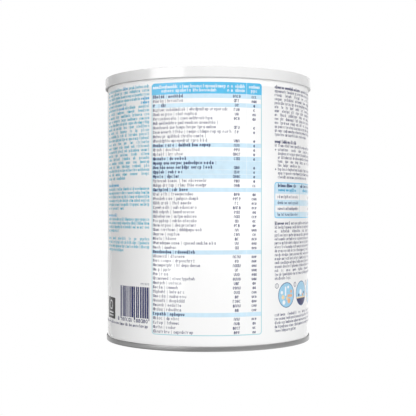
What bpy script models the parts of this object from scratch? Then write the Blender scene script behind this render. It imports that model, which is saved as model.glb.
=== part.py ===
"""Shut milk powder tin with a press-on plastic lid.

Metres, +Z up. The origin is the centre of the base, on the surface that the tin stands on, and the front faces -Y.
Three pieces are turned about +Z: the lid, the filled can body, and the metal end that is seamed on below it.
"""

import math

import bpy

# Whole tin
TIN_NAME = "milk_powder_tin"
TIN_HEIGHT = 0.1630
BODY_RADIUS = 0.0635
GAP = 0.0003
SIDES = 72
SHARP_ANGLE = math.radians(50)

# Lid: a cap with an even wall, whose skirt hangs round the upper end of the body
LID_RADIUS = 0.0650
LID_HEIGHT = 0.0063
LID_WALL = LID_RADIUS - BODY_RADIUS - GAP
LID_SHOULDER = 0.0004
LID_RIM_WIDTH = 0.0060
LID_RECESS = 0.0015
LID_RECESS_SLOPE = 0.0008
INNER_BEVEL = 0.0005

# Seam and end below: a rolled seam that stands proud of the body, round a recessed panel with ring beads
SEAM_RADIUS = 0.06414
SEAM_HEIGHT = 0.0030
SEAM_FOOT_RADIUS = 0.0007
SEAM_INNER_RADIUS = 0.0617
SEAM_INNER_ROUND = 0.0009
SEAM_LIP = 0.0008
BODY_HOOK = 0.0009
CHUCK_TAPER = 0.0003
COUNTERSINK_DEPTH = 0.0044
COUNTERSINK_WIDTH = 0.0018
PANEL_DEPTH = 0.0034
PANEL_BEADS = (0.0545, 0.0465, 0.0385)
BEAD_WIDTH = 0.0030
BEAD_DEPTH = 0.0006
END_TOP = 0.0052

# Steps in each rounded edge of a profile
ROUND_STEPS = 5
SMALL_STEPS = 3

# Finishes
LID_WHITE = (0.86, 0.86, 0.86)
LID_GLOSS = 0.22
WALL_WHITE = (0.90, 0.91, 0.92)
WALL_GLOSS = 0.35
TINPLATE_GREY = (0.56, 0.56, 0.57)
TINPLATE_GLOSS = 0.32


def arc(centre_r, centre_z, radius, start, end, steps):
    """Points (r, z) of an arc in the profile plane, with both ends. Angles in degrees, 0 along +r, 90 along +z."""
    points = []
    for step in range(steps + 1):
        angle = math.radians(start + (end - start) * step / steps)
        points.append((centre_r + radius * math.cos(angle), centre_z + radius * math.sin(angle)))
    return points


def material(name, colour, roughness, metallic=0.0):
    """A plain finish for one piece."""
    made = bpy.data.materials.new(name)
    made.use_nodes = True
    shader = made.node_tree.nodes["Principled BSDF"]
    shader.inputs["Base Color"].default_value = (*colour, 1.0)
    shader.inputs["Roughness"].default_value = roughness
    shader.inputs["Metallic"].default_value = metallic
    made.diffuse_color = (*colour, 1.0)
    return made


def turned(name, profile, finish, collection):
    """An object turned about +Z from a profile that goes out from the axis, down the outer side and back to the axis."""
    outline = bpy.data.meshes.new(name + "_profile")
    points = [(r, 0.0, z) for r, z in profile]
    outline.from_pydata(points, [(i, i + 1) for i in range(len(points) - 1)], [])
    lathe = bpy.data.objects.new(name + "_profile", outline)
    collection.objects.link(lathe)
    screw = lathe.modifiers.new("Turn", "SCREW")
    screw.axis = "Z"
    screw.angle = math.tau
    screw.steps = screw.render_steps = SIDES
    screw.use_merge_vertices = True
    screw.merge_threshold = 0.00001
    mesh = bpy.data.meshes.new_from_object(lathe.evaluated_get(bpy.context.evaluated_depsgraph_get()))
    bpy.data.objects.remove(lathe)
    bpy.data.meshes.remove(outline)
    mesh.name = name
    mesh.shade_smooth()
    mesh.set_sharp_from_angle(angle=SHARP_ANGLE)
    mesh.materials.clear()
    mesh.materials.append(finish)
    piece = bpy.data.objects.new(name, mesh)
    collection.objects.link(piece)
    return piece


def lid_profile():
    """The cap, with z measured from the lower edge of its skirt."""
    inner_radius = LID_RADIUS - LID_WALL
    lip = LID_WALL / 2
    rim_inner = LID_RADIUS - LID_RIM_WIDTH
    panel_top = LID_HEIGHT - LID_RECESS
    rim_under = LID_HEIGHT - LID_WALL
    panel_under = panel_top - LID_WALL
    channel_inner = rim_inner + LID_WALL - LID_RECESS_SLOPE / 2
    profile = [(0.0, panel_top), (rim_inner - LID_RECESS_SLOPE, panel_top)]
    profile += [(rim_inner, LID_HEIGHT - INNER_BEVEL), (rim_inner + INNER_BEVEL, LID_HEIGHT)]
    profile += arc(LID_RADIUS - LID_SHOULDER, LID_HEIGHT - LID_SHOULDER, LID_SHOULDER, 90, 0, ROUND_STEPS)
    profile += arc(LID_RADIUS - lip, lip, lip, 0, -180, 2 * SMALL_STEPS)
    profile += [(inner_radius, rim_under - INNER_BEVEL), (inner_radius - INNER_BEVEL, rim_under)]
    profile += [(channel_inner + INNER_BEVEL, rim_under), (channel_inner, rim_under - INNER_BEVEL)]
    profile += [(channel_inner, panel_under), (0.0, panel_under)]
    return profile


def body_profile():
    """The filled body: a rim that carries the lid, the straight wall, and a hook that stands in the seam."""
    lid_top_under = TIN_HEIGHT - LID_WALL
    rim_top = lid_top_under - GAP
    panel = lid_top_under - LID_RECESS - GAP
    rim_inner = LID_RADIUS - LID_RIM_WIDTH + LID_WALL - LID_RECESS_SLOPE / 2 + GAP
    hook_foot = SEAM_HEIGHT - SEAM_LIP
    hook_inner = BODY_RADIUS - BODY_HOOK
    profile = [(0.0, panel), (rim_inner, panel)]
    profile += [(rim_inner, rim_top - INNER_BEVEL), (rim_inner + INNER_BEVEL, rim_top)]
    profile += [(BODY_RADIUS - INNER_BEVEL, rim_top), (BODY_RADIUS, rim_top - INNER_BEVEL)]
    profile += [(BODY_RADIUS, hook_foot), (hook_inner, hook_foot)]
    profile += [(hook_inner, END_TOP + GAP), (0.0, END_TOP + GAP)]
    return profile


def bead(radius):
    """One ring bead of the panel, pressed up into it, from its outer edge to its inner edge."""
    half = BEAD_WIDTH / 2
    heights = ((half, 0.0), (half / 2, BEAD_DEPTH), (-half / 2, BEAD_DEPTH), (-half, 0.0))
    return [(radius + offset, PANEL_DEPTH + height) for offset, height in heights]


def end_profile():
    """The seamed end: the groove that holds the body's hook, the rolled seam, its flat foot, and the panel."""
    groove_inner = BODY_RADIUS - BODY_HOOK - GAP
    groove_outer = BODY_RADIUS + GAP
    groove_floor = SEAM_HEIGHT - SEAM_LIP - GAP
    chuck_top = SEAM_INNER_RADIUS - CHUCK_TAPER
    countersink_inner = chuck_top - COUNTERSINK_WIDTH
    lip_round = (SEAM_RADIUS - groove_outer) / 2
    profile = [(0.0, END_TOP), (groove_inner, END_TOP)]
    profile += [(groove_inner, groove_floor), (groove_outer, groove_floor)]
    profile += arc(groove_outer + lip_round, SEAM_HEIGHT - lip_round, lip_round, 180, 0, 2 * SMALL_STEPS)
    profile += arc(SEAM_RADIUS - SEAM_FOOT_RADIUS, SEAM_FOOT_RADIUS, SEAM_FOOT_RADIUS, 0, -90, ROUND_STEPS)
    profile += arc(SEAM_INNER_RADIUS + SEAM_INNER_ROUND, SEAM_INNER_ROUND, SEAM_INNER_ROUND, -90, -180, ROUND_STEPS)
    profile += [(chuck_top, COUNTERSINK_DEPTH - INNER_BEVEL), (chuck_top - INNER_BEVEL, COUNTERSINK_DEPTH)]
    profile += [(countersink_inner, COUNTERSINK_DEPTH), (countersink_inner - INNER_BEVEL, PANEL_DEPTH)]
    for radius in PANEL_BEADS:
        profile += bead(radius)
    profile += [(0.0, PANEL_DEPTH)]
    return profile


def main():
    for old in list(bpy.data.objects):
        bpy.data.objects.remove(old, do_unlink=True)
    tin = bpy.data.collections.new(TIN_NAME)
    bpy.context.scene.collection.children.link(tin)
    base = bpy.data.objects.new(TIN_NAME, None)
    tin.objects.link(base)

    lid = turned("lid", lid_profile(), material("lid_plastic", LID_WHITE, LID_GLOSS), tin)
    lid.location = (0.0, 0.0, TIN_HEIGHT - LID_HEIGHT)
    body = turned("can_body", body_profile(), material("printed_tinplate", WALL_WHITE, WALL_GLOSS), tin)
    end = turned("bottom_end", end_profile(), material("bare_tinplate", TINPLATE_GREY, TINPLATE_GLOSS, 1.0), tin)
    for piece in (lid, body, end):
        piece.parent = base


main()
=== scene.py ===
"""Looks of the shut milk powder tin: its press-on lid, printed wall, seamed end, print, camera and studio.

Metres, +Z up. The front of the tin faces -Y. Angles round the tin start at the front and grow to the right,
to +X.
"""

import math
import random
from collections import namedtuple

import bpy
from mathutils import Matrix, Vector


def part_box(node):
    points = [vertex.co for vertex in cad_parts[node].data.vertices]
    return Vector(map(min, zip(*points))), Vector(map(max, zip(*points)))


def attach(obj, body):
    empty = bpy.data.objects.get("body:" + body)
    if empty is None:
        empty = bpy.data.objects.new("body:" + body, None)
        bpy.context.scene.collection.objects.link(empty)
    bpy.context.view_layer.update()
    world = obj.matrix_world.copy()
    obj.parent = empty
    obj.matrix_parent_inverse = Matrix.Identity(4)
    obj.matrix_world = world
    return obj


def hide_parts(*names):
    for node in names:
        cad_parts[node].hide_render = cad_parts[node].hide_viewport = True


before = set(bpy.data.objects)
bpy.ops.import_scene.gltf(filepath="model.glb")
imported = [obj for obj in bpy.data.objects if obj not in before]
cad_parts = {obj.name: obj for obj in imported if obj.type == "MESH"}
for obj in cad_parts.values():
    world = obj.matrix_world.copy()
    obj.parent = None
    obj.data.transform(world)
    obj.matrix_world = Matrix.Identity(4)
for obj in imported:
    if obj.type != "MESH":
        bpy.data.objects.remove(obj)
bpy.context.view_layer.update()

MM = 0.001
BODY = "root"

# Sizes that the frame gives
LID_LOW, LID_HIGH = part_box("lid")
CAN_LOW, CAN_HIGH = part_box("can_body")
END_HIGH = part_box("bottom_end")[1]
LID_RADIUS = LID_HIGH.x
LID_FOOT = LID_LOW.z
LID_TOP = LID_HIGH.z
BODY_RADIUS = CAN_HIGH.x
SEAM_RADIUS = END_HIGH.x
END_TOP = END_HIGH.z

# Sizes of the lid's profile, as in the part's source but for finer edges and less play round the wall
GAP = 0.3 * MM
LID_WALL = LID_RADIUS - BODY_RADIUS - GAP
LID_PLAY = 0.02 * MM
LID_EDGE = 0.25 * MM
LID_INNER_EDGE = 0.1 * MM
LID_SHOULDER = 0.3 * MM
LID_RIM_WIDTH = 6.0 * MM
LID_RECESS = 1.5 * MM
LID_RECESS_SLOPE = 0.8 * MM
INNER_BEVEL = 0.5 * MM

# Sizes of the end's profile, as in the part's source but for a finer edge at its foot
SEAM_HEIGHT = 3.0 * MM
SEAM_FOOT_RADIUS = 0.4 * MM
SEAM_INNER_RADIUS = 61.7 * MM
SEAM_INNER_ROUND = 0.9 * MM
SEAM_LIP = 0.8 * MM
BODY_HOOK = 0.9 * MM
CHUCK_TAPER = 0.3 * MM
COUNTERSINK_DEPTH = 4.4 * MM
COUNTERSINK_WIDTH = 1.8 * MM
PANEL_DEPTH = 3.4 * MM
PANEL_BEADS = (54.5 * MM, 46.5 * MM, 38.5 * MM)
BEAD_WIDTH = 3.0 * MM
BEAD_DEPTH = 0.6 * MM

# Fineness of the pieces
TURNED_SIDES = 256
ROUND_STEPS = 10
SHARP_ANGLE = math.radians(50)
WELD = 0.001 * MM


def new_tree(name, inputs):
    """A Geometry Nodes tree with a Geometry input, these further named inputs, and a Geometry output.

    An input has no value of its own where each piece that the tree makes sets one.
    """
    tree = bpy.data.node_groups.new(name, "GeometryNodeTree")
    tree.interface.new_socket("Geometry", in_out="INPUT", socket_type="NodeSocketGeometry")
    for label, kind, value in inputs:
        socket = tree.interface.new_socket(label, in_out="INPUT", socket_type="NodeSocket" + kind)
        if value is not None:
            socket.default_value = value
    tree.interface.new_socket("Geometry", in_out="OUTPUT", socket_type="NodeSocketGeometry")
    return tree


def add(tree, kind, wired=None, **settings):
    """A new node with these settings.

    Each input is wired to a socket or to a list of them, or set to a plain value.
    """
    node = tree.nodes.new(kind)
    for key, value in settings.items():
        setattr(node, key, value)
    for key, value in (wired or {}).items():
        sockets = value if isinstance(value, list) else [value]
        if isinstance(sockets[0], bpy.types.NodeSocket):
            for socket in sockets:
                tree.links.new(socket, node.inputs[key])
        else:
            node.inputs[key].default_value = value
    return node


def maths(tree, operation, *values):
    """The result of one Math node on these sockets or numbers."""
    return add(tree, "ShaderNodeMath", dict(enumerate(values)), operation=operation).outputs[0]


def ranged(tree, value, low, high, first=0.0, last=1.0):
    """A value that goes from first to last as this value goes from low to high, and no further."""
    wired = {"Value": value, "From Min": low, "From Max": high, "To Min": first, "To Max": last}
    return add(tree, "ShaderNodeMapRange", wired).outputs[0]


def vector(tree, **parts):
    """A vector with these of its parts X, Y and Z. The others are 0."""
    return add(tree, "ShaderNodeCombineXYZ", parts).outputs[0]


def separated(tree, value):
    """The parts X, Y and Z of a vector."""
    return add(tree, "ShaderNodeSeparateXYZ", {0: value}).outputs


def position(tree):
    """Where each point of a shape is."""
    return add(tree, "GeometryNodeInputPosition").outputs[0]


def moved(tree, shape, **where):
    """The shape with its points at another Position, or moved by an Offset."""
    return add(tree, "GeometryNodeSetPosition", {"Geometry": shape, **where}).outputs[0]


def welded(tree, shape):
    """The shape with the points that lie on each other made one."""
    return add(tree, "GeometryNodeMergeByDistance", {"Geometry": shape, "Distance": WELD}).outputs[0]


def together(tree, shapes):
    """All of these shapes as one."""
    return add(tree, "GeometryNodeJoinGeometry", {"Geometry": shapes}).outputs[0]


def stepped(tree, edges, length):
    """The edges as curves, with a point at each step of this length."""
    path = add(tree, "GeometryNodeMeshToCurve", {"Mesh": edges})
    wired = {"Curve": path.outputs[0], "Length": length}
    return add(tree, "GeometryNodeResampleCurve", wired, mode="LENGTH").outputs[0]


def swept(tree, curve, width, height):
    """A bar of this width and height along the curve."""
    section = add(tree, "GeometryNodeCurvePrimitiveQuadrilateral", {"Width": width, "Height": height})
    wired = {"Curve": curve, "Profile Curve": section.outputs[0], "Fill Caps": True}
    return add(tree, "GeometryNodeCurveToMesh", wired).outputs[0]


def turned_tree():
    """Turns a profile, a row of points (r, 0, z), about +Z."""
    tree = new_tree("Turned piece", (
        ("Sides", "Int", TURNED_SIDES),
        ("Sharp Angle", "Float", SHARP_ANGLE),
        ("Material", "Material", None),
    ))
    given = add(tree, "NodeGroupInput").outputs
    size = add(tree, "GeometryNodeAttributeDomainSize", {"Geometry": given["Geometry"]})
    count = size.outputs["Point Count"]
    columns = maths(tree, "ADD", given["Sides"], 1)
    grid = add(tree, "GeometryNodeMeshGrid", {"Vertices X": columns, "Vertices Y": count})
    index = add(tree, "GeometryNodeInputIndex").outputs[0]
    column = maths(tree, "FLOOR", maths(tree, "DIVIDE", maths(tree, "ADD", index, 0.5), count))
    row = maths(tree, "SUBTRACT", index, maths(tree, "MULTIPLY", column, count))
    sample = add(tree, "GeometryNodeSampleIndex", {
        "Geometry": given["Geometry"], "Value": position(tree), "Index": row,
    }, data_type="FLOAT_VECTOR")
    point = separated(tree, sample.outputs[0])
    turn = maths(tree, "MULTIPLY", column, maths(tree, "DIVIDE", -math.tau, given["Sides"]))
    x = maths(tree, "MULTIPLY", point["X"], maths(tree, "COSINE", turn))
    y = maths(tree, "MULTIPLY", point["X"], maths(tree, "SINE", turn))
    shape = moved(tree, grid.outputs["Mesh"], Position=vector(tree, X=x, Y=y, Z=point["Z"]))
    finish_tree(tree, creased(tree, welded(tree, shape), given["Sharp Angle"]), given["Material"])
    return tree


def creased(tree, shape, sharp_angle):
    """Smooth shading with a crease at each edge that turns by more than the angle."""
    smooth = add(tree, "GeometryNodeSetShadeSmooth", {"Geometry": shape, "Shade Smooth": True})
    fold = add(tree, "GeometryNodeInputMeshEdgeAngle").outputs["Unsigned Angle"]
    return add(tree, "GeometryNodeSetShadeSmooth", {
        "Geometry": smooth.outputs[0],
        "Selection": maths(tree, "GREATER_THAN", fold, sharp_angle),
        "Shade Smooth": False,
    }, domain="EDGE").outputs[0]


def finish_tree(tree, shape, finish):
    """Ends a tree: its instances are made real, and it takes its finish."""
    real = add(tree, "GeometryNodeRealizeInstances", {"Geometry": shape})
    painted = add(tree, "GeometryNodeSetMaterial", {"Geometry": real.outputs[0], "Material": finish})
    add(tree, "NodeGroupOutput", {"Geometry": painted.outputs[0]})


def grown(name, tree, start, values):
    """A plain mesh object: what the tree makes of the start mesh with these named inputs."""
    seed = bpy.data.objects.new(name + "_start", start)
    bpy.context.scene.collection.objects.link(seed)
    modifier = seed.modifiers.new("Shape", "NODES")
    modifier.node_group = tree
    sockets = {item.name: item.identifier for item in tree.interface.items_tree if item.in_out == "INPUT"}
    for label, value in values.items():
        modifier[sockets[label]] = value
    bpy.context.view_layer.update()
    mesh = bpy.data.meshes.new_from_object(seed.evaluated_get(bpy.context.evaluated_depsgraph_get()))
    bpy.data.objects.remove(seed)
    bpy.data.meshes.remove(start)
    mesh.name = name
    piece = bpy.data.objects.new(name, mesh)
    bpy.context.scene.collection.objects.link(piece)
    return piece


def add_to_tin(piece, slot, *replaced):
    """Makes a finished piece part of the tin."""
    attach(piece, BODY)
    if replaced:
        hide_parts(*replaced)


def arc(x, y, radius, start, end, steps=ROUND_STEPS):
    """Points of an arc round (x, y), with both ends. Angles are in degrees, 0 along +x and 90 along +y."""
    points = []
    for step in range(steps + 1):
        angle = math.radians(start + (end - start) * step / steps)
        points.append((x + radius * math.cos(angle), y + radius * math.sin(angle)))
    return points


def turned(name, profile, finish):
    """A piece turned from a profile that goes out from the axis, down outside and back to the axis."""
    outline = bpy.data.meshes.new(name + "_profile")
    outline.from_pydata([(r, 0.0, z) for r, z in profile], [], [])
    return grown(name, TURNED, outline, {"Material": finish})


def lid_profile():
    """The cap, from its top panel out over the rim, down the skirt and back up inside."""
    inner_radius = BODY_RADIUS + LID_PLAY
    rim_inner = LID_RADIUS - LID_RIM_WIDTH
    panel_top = LID_TOP - LID_RECESS
    rim_under = LID_TOP - LID_WALL
    panel_under = panel_top - LID_WALL
    channel_inner = rim_inner + LID_WALL - LID_RECESS_SLOPE / 2
    profile = [(0.0, panel_top), (rim_inner - LID_RECESS_SLOPE, panel_top)]
    profile += [(rim_inner, LID_TOP - INNER_BEVEL), (rim_inner + INNER_BEVEL, LID_TOP)]
    profile += arc(LID_RADIUS - LID_SHOULDER, LID_TOP - LID_SHOULDER, LID_SHOULDER, 90, 0)
    profile += arc(LID_RADIUS - LID_EDGE, LID_FOOT + LID_EDGE, LID_EDGE, 0, -90)
    profile += arc(inner_radius + LID_INNER_EDGE, LID_FOOT + LID_INNER_EDGE, LID_INNER_EDGE, -90, -180)
    profile += [(inner_radius, rim_under - INNER_BEVEL), (inner_radius - INNER_BEVEL, rim_under)]
    profile += [(channel_inner + INNER_BEVEL, rim_under), (channel_inner, rim_under - INNER_BEVEL)]
    profile += [(channel_inner, panel_under), (0.0, panel_under)]
    return profile


def wall_profile():
    """The filled can: a rim that carries the lid, the straight wall, and a hook that stands in the seam."""
    rim_inner = LID_RADIUS - LID_RIM_WIDTH + LID_WALL - LID_RECESS_SLOPE / 2 + GAP
    rim_top = CAN_HIGH.z
    panel = rim_top - LID_RECESS
    hook_inner = BODY_RADIUS - BODY_HOOK
    profile = [(0.0, panel), (rim_inner, panel)]
    profile += [(rim_inner, rim_top - INNER_BEVEL), (rim_inner + INNER_BEVEL, rim_top)]
    profile += [(BODY_RADIUS - INNER_BEVEL, rim_top), (BODY_RADIUS, rim_top - INNER_BEVEL)]
    profile += [(BODY_RADIUS, CAN_LOW.z), (hook_inner, CAN_LOW.z)]
    profile += [(hook_inner, END_TOP + GAP), (0.0, END_TOP + GAP)]
    return profile


def bead(radius):
    """One ring bead of the end panel, pressed up into it, from its outer edge to its inner edge."""
    half = BEAD_WIDTH / 2
    points = []
    for step in range(ROUND_STEPS + 1):
        across = 1 - 2 * step / ROUND_STEPS
        height = BEAD_DEPTH * (1 + math.cos(math.pi * across)) / 2
        points.append((radius + half * across, PANEL_DEPTH + height))
    return points


def end_profile():
    """The seamed end: the groove that holds the wall's hook, the rolled seam, its foot, and the panel."""
    groove_inner = BODY_RADIUS - BODY_HOOK - GAP
    groove_outer = BODY_RADIUS + GAP
    groove_floor = SEAM_HEIGHT - SEAM_LIP - GAP
    chuck_top = SEAM_INNER_RADIUS - CHUCK_TAPER
    countersink_inner = chuck_top - COUNTERSINK_WIDTH
    lip_round = (SEAM_RADIUS - groove_outer) / 2
    profile = [(0.0, END_TOP), (groove_inner, END_TOP)]
    profile += [(groove_inner, groove_floor), (groove_outer, groove_floor)]
    profile += arc(groove_outer + lip_round, SEAM_HEIGHT - lip_round, lip_round, 180, 0)
    profile += arc(SEAM_RADIUS - SEAM_FOOT_RADIUS, SEAM_FOOT_RADIUS, SEAM_FOOT_RADIUS, 0, -90)
    profile += arc(SEAM_INNER_RADIUS + SEAM_INNER_ROUND, SEAM_INNER_ROUND, SEAM_INNER_ROUND, -90, -180)
    profile += [(chuck_top, COUNTERSINK_DEPTH - INNER_BEVEL), (chuck_top - INNER_BEVEL, COUNTERSINK_DEPTH)]
    profile += [(countersink_inner, COUNTERSINK_DEPTH), (countersink_inner - INNER_BEVEL, PANEL_DEPTH)]
    for radius in PANEL_BEADS:
        profile += bead(radius)
    profile += [(0.0, PANEL_DEPTH)]
    return profile


# Print. It is laid out on a flat sheet, in millimetres: x runs round the tin to the right from the middle of
# the front, y runs up from the floor, and z outwards from the wall. Each tree then wraps its sheet round the
# can. An ink starts under the surface of the wall and stands a little proud of it, more so on another ink.
INK_SUNK = 0.03 * MM
FIELD_PROUD = 0.003 * MM
OVERPRINT_PROUD = 0.004 * MM
TEXT_PROUD = 0.005 * MM
TOP_PROUD = 0.006 * MM

# Longest flat step round the can, in mm, short enough not to dip under the ink below it, least steps in a
# quarter of a disc or of a field's round corner, and steps of a line's path in a corner and in a ring
PRINT_STEP = 0.5
QUARTER_STEPS = 9
CORNER_STEPS = 6
RING_STEPS = 36

PRINT_INPUTS = (
    ("Radius", "Float", BODY_RADIUS),
    ("Sunk", "Float", INK_SUNK),
    ("Proud", "Float", None),
    ("Material", "Material", None),
)


def wrapped(tree, sheet, radius):
    """The flat sheet wrapped round the can."""
    place = separated(tree, position(tree))
    turn = maths(tree, "DIVIDE", place["X"], radius)
    out = maths(tree, "ADD", place["Z"], radius)
    x = maths(tree, "MULTIPLY", out, maths(tree, "SINE", turn))
    y = maths(tree, "MULTIPLY", maths(tree, "MULTIPLY", out, -1.0), maths(tree, "COSINE", turn))
    return moved(tree, sheet, Position=vector(tree, X=x, Y=y, Z=place["Y"]))


def thickness_of_ink(tree, given):
    """From the sunk underside of an ink to its top."""
    return maths(tree, "ADD", given["Sunk"], given["Proud"])


def laid_on_wall(tree, given, ink_shape):
    """Ink whose middle lies on the sheet, brought to its own height and wrapped round the can."""
    middle = maths(tree, "MULTIPLY", maths(tree, "SUBTRACT", given["Proud"], given["Sunk"]), 0.5)
    return wrapped(tree, moved(tree, ink_shape, Offset=vector(tree, Z=middle)), given["Radius"])


def field_tree():
    """Makes flat faces into closed fields of ink."""
    tree = new_tree("Printed field", PRINT_INPUTS)
    given = add(tree, "NodeGroupInput").outputs
    depth = maths(tree, "MULTIPLY", given["Sunk"], -1.0)
    sunk = moved(tree, welded(tree, given["Geometry"]), Offset=vector(tree, Z=depth))
    upper = add(tree, "GeometryNodeExtrudeMesh", {
        "Mesh": sunk,
        "Offset": (0.0, 0.0, 1.0),
        "Offset Scale": thickness_of_ink(tree, given),
        "Individual": False,
    })
    under = add(tree, "GeometryNodeFlipFaces", {"Mesh": sunk})
    closed = welded(tree, together(tree, [upper.outputs["Mesh"], under.outputs[0]]))
    bent = wrapped(tree, closed, given["Radius"])
    finish_tree(tree, creased(tree, bent, SHARP_ANGLE), given["Material"])
    return tree


def line_tree():
    """Makes paths into printed lines of one width."""
    tree = new_tree("Printed line", PRINT_INPUTS + (
        ("Width", "Float", None),
        ("Step", "Float", PRINT_STEP * MM),
    ))
    given = add(tree, "NodeGroupInput").outputs
    path = stepped(tree, given["Geometry"], given["Step"])
    flat = swept(tree, path, given["Width"], thickness_of_ink(tree, given))
    bent = laid_on_wall(tree, given, flat)
    finish_tree(tree, creased(tree, bent, SHARP_ANGLE), given["Material"])
    return tree


# The marks that stand for letters in small print. They are drawn at random, so no row of them spells
# anything. A mark is a few strokes. A bar has its middle across (-1 to 1) and up (0 to 1), then its width
# and height: a width of 1 spans from post to post, a height of 1 is the height of the print, and 0 is one
# stroke. A bow is the part of an oval as large as the mark that goes on from its start for its sweep, in
# degrees.
Bar = namedtuple("Bar", "across up wide tall")
Bow = namedtuple("Bow", "start sweep")
OVAL = Bow(0, 360)
ARCH = Bow(0, 180)
CUP = Bow(180, 180)
LEFT_POST = Bar(-1, 0.5, 0, 1)
RIGHT_POST = Bar(1, 0.5, 0, 1)
MIDDLE_POST = Bar(0, 0.4, 0, 0.9)
LEFT_FOOT = Bar(-1, 0.25, 0, 0.5)
RIGHT_FOOT = Bar(1, 0.25, 0, 0.5)
LEFT_HEAD = Bar(-1, 0.75, 0, 0.5)
RIGHT_HEAD = Bar(1, 0.75, 0, 0.5)
TOP_DASH = Bar(0, 1, 1, 0)
MIDDLE_DASH = Bar(0, 0.5, 1, 0)
TALL_LEFT = Bar(-1, 0.78, 0, 1.5)
TALL_RIGHT = Bar(1, 0.78, 0, 1.5)
DEEP_LEFT = Bar(-1, 0.26, 0, 1.4)
PLAIN_MARKS = (
    (OVAL,),
    (OVAL, RIGHT_POST),
    (Bow(45, 270),),
    (Bow(0, 310), MIDDLE_DASH),
    (ARCH, LEFT_FOOT, RIGHT_FOOT),
    (CUP, LEFT_HEAD, RIGHT_HEAD),
    (Bow(60, 120), LEFT_POST),
    (ARCH, LEFT_FOOT, MIDDLE_POST, RIGHT_FOOT),
    (Bow(45, 225), Bow(225, 225), MIDDLE_DASH),
)
TALL_MARKS = (
    (Bar(-0.55, 0.78, 0, 1.5), Bar(0.55, 0.5, 0, 1)),
    (Bar(-0.1, 0.7, 0, 1.4), TOP_DASH),
    (OVAL, TALL_RIGHT),
    (OVAL, DEEP_LEFT),
    (TALL_LEFT, ARCH, RIGHT_FOOT),
)

# Steps in an oval, and how many of the marks, from the first, a style of print picks from
BOW_STEPS = 8
ROUND_MARKS = 6
LOW_MARKS = len(PLAIN_MARKS)
ALL_MARKS = len(PLAIN_MARKS + TALL_MARKS)


def part_tree(name, labels):
    """A tree for one stroke of a mark, its inputs, and how far to each side its middle may reach."""
    tree = bpy.data.node_groups.new(name, "GeometryNodeTree")
    for label in labels + ("Width", "Height", "Stroke", "Thickness"):
        tree.interface.new_socket(label, in_out="INPUT", socket_type="NodeSocketFloat")
    tree.interface.new_socket("Mesh", in_out="OUTPUT", socket_type="NodeSocketGeometry")
    given = add(tree, "NodeGroupInput").outputs
    half = maths(tree, "MULTIPLY", maths(tree, "SUBTRACT", given["Width"], given["Stroke"]), 0.5)
    return tree, given, half


def bar_tree():
    """One bar of a mark, placed in the mark's own width and height."""
    tree, given, half = part_tree("Bar", Bar._fields)
    stroke = given["Stroke"]
    between_posts = maths(tree, "SUBTRACT", given["Width"], maths(tree, "MULTIPLY", stroke, 2.0))
    wide = maths(tree, "MAXIMUM", maths(tree, "MULTIPLY", given["wide"], between_posts), stroke)
    tall = maths(tree, "MAXIMUM", maths(tree, "MULTIPLY", given["tall"], given["Height"]), stroke)
    size = vector(tree, X=wide, Y=tall, Z=given["Thickness"])
    cube = add(tree, "GeometryNodeMeshCube", {"Size": size})
    rise = maths(tree, "MULTIPLY", given["up"], maths(tree, "SUBTRACT", given["Height"], stroke))
    up = maths(tree, "ADD", rise, maths(tree, "MULTIPLY", stroke, 0.5))
    there = vector(tree, X=maths(tree, "MULTIPLY", given["across"], half), Y=up)
    placed = add(tree, "GeometryNodeTransform", {"Geometry": cube.outputs["Mesh"], "Translation": there})
    add(tree, "NodeGroupOutput", {"Mesh": placed.outputs[0]})
    return tree


def bow_tree(closed):
    """One bow of a mark: a whole oval, or the part of one that goes on from its start for its sweep."""
    tree, given, half = part_tree("Oval" if closed else "Bow", () if closed else Bow._fields)
    if closed:
        path = add(tree, "GeometryNodeCurvePrimitiveCircle", {"Resolution": BOW_STEPS, "Radius": 1.0})
    else:
        steps = maths(tree, "CEIL", maths(tree, "MULTIPLY", given["sweep"], BOW_STEPS / 360))
        path = add(tree, "GeometryNodeCurveArc", {
            "Resolution": maths(tree, "ADD", steps, 1.0),
            "Radius": 1.0,
            "Start Angle": maths(tree, "RADIANS", given["start"]),
            "Sweep Angle": maths(tree, "RADIANS", given["sweep"]),
        })
    rise = maths(tree, "MULTIPLY", maths(tree, "SUBTRACT", given["Height"], given["Stroke"]), 0.5)
    placed = add(tree, "GeometryNodeTransform", {
        "Geometry": path.outputs[0],
        "Translation": vector(tree, Y=maths(tree, "MULTIPLY", given["Height"], 0.5)),
        "Scale": vector(tree, X=half, Y=rise, Z=1.0),
    })
    stroke = swept(tree, placed.outputs[0], given["Stroke"], given["Thickness"])
    add(tree, "NodeGroupOutput", {"Mesh": stroke})
    return tree


def marks_to_pick(tree, sizes, bar, bow, oval):
    """Every mark as an instance, in the order of their numbers."""
    marks = []
    for mark in reversed(PLAIN_MARKS + TALL_MARKS):
        strokes = []
        for stroke in mark:
            if stroke == OVAL:
                drawn = add(tree, "GeometryNodeGroup", sizes, node_tree=oval)
            else:
                kind = bar if isinstance(stroke, Bar) else bow
                drawn = add(tree, "GeometryNodeGroup", {**sizes, **stroke._asdict()}, node_tree=kind)
            strokes.append(drawn.outputs[0])
        instance = add(tree, "GeometryNodeGeometryToInstance", {"Geometry": together(tree, strokes)})
        marks.append(instance.outputs[0])
    return together(tree, marks)


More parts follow.
